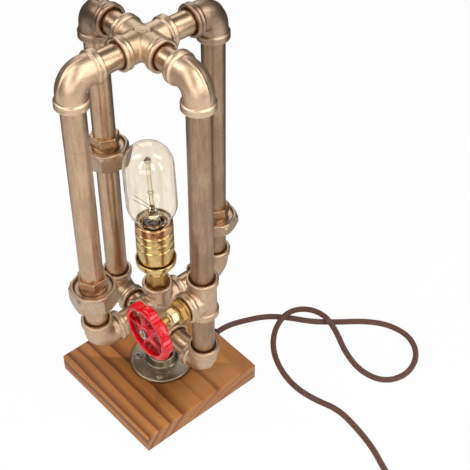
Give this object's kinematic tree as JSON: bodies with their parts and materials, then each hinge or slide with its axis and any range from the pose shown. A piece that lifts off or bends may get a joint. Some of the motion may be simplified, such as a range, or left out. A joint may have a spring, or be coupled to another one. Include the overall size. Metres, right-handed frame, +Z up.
{
  "type": "table lamp",
  "caption": "Table lamp whose cage of bronzed water pipe stands on a wooden base round a bare tubular bulb; a red valve handwheel turns the switch.",
  "frame": {"origin": "on the resting face, on the lamp axis where the holder and the flange stand", "axes": "+Z up along the lamp axis; -Y to the front, where the handwheel faces; +X to the right, to the riser that carries the valve"},
  "size_m": [0.43, 0.3448, 0.449],
  "materials": {
    "wood": "clear satin over stained pine",
    "felt": "black felt",
    "flange": "dark bronze",
    "screw": "dull bronze",
    "pipe": "brushed antique bronze",
    "fitting": "satin antique bronze",
    "brass": "polished",
    "wheel": "gloss red enamel",
    "nut": "zinc",
    "switch": "moulded",
    "lead": "insulated wire",
    "insert": "brown glazed",
    "thread_shell": "plain",
    "glass": "clear light amber",
    "stem": "clear",
    "wire": "drawn wire",
    "cord": "braided brown textile",
    "plug": "moulded brown",
    "pin": "nickel-plated"
  },
  "bodies": {
    "stand": {"base_felt": "felt", "cord_bush": "plug", "cord_coil": "cord", "cord_run": "cord", "flange_nipple": "pipe", "flange_screws": "screw", "floor_flange": "flange", "front_lower_elbow": "fitting", "front_lower_pipe": "pipe", "front_top_elbow": "fitting", "front_union_nut": "fitting", "front_union_seat": "fitting", "front_union_tail": "fitting", "front_upper_pipe": "pipe", "gland_nut": "brass", "holder_cup": "brass", "holder_insert": "insert", "holder_leads": "lead", "holder_neck": "brass", "holder_shell": "brass", "holder_sleeve": "thread_shell", "inner_cord": "cord", "left_lower_elbow": "fitting", "left_lower_pipe": "pipe", "left_top_elbow": "fitting", "left_union_nut": "fitting", "left_union_seat": "fitting", "left_union_tail": "fitting", "left_upper_pipe": "pipe", "lower_cross": "fitting", "lower_nipples": "pipe", "plug_body": "plug", "plug_pins": "pin", "rear_lower_elbow": "fitting", "rear_lower_pipe": "pipe", "rear_top_elbow": "fitting", "rear_union_nut": "fitting", "rear_union_seat": "fitting", "rear_union_tail": "fitting", "rear_upper_pipe": "pipe", "right_lower_elbow": "fitting", "right_lower_pipe": "pipe", "right_top_elbow": "fitting", "right_upper_pipe": "pipe", "switch_leads": "lead", "switch_module": "switch", "top_cross": "fitting", "top_nipples": "pipe", "upper_cross": "fitting", "valve_bonnet": "brass", "valve_tee": "fitting", "wood_base": "wood"},
    "wheel": {"valve_spindle": "brass", "handwheel": "wheel", "wheel_nut": "nut"},
    "bulb": {"bulb_cap": "thread_shell", "bulb_glass": "glass", "bulb_stem": "stem", "bulb_filament": "wire"}
  },
  "joints": [
    {"name": "handwheel_turn", "type": "hinge", "parent": "stand", "child": "wheel", "pos_m": [0.072, 0, 0.177], "axis": [0, 1, 0], "range_deg": [0, 90]},
    {"name": "bulb_lift", "type": "slide", "parent": "stand", "child": "bulb", "axis": [0, 0, 1], "range_m": [0, 0.04]}
  ]
}
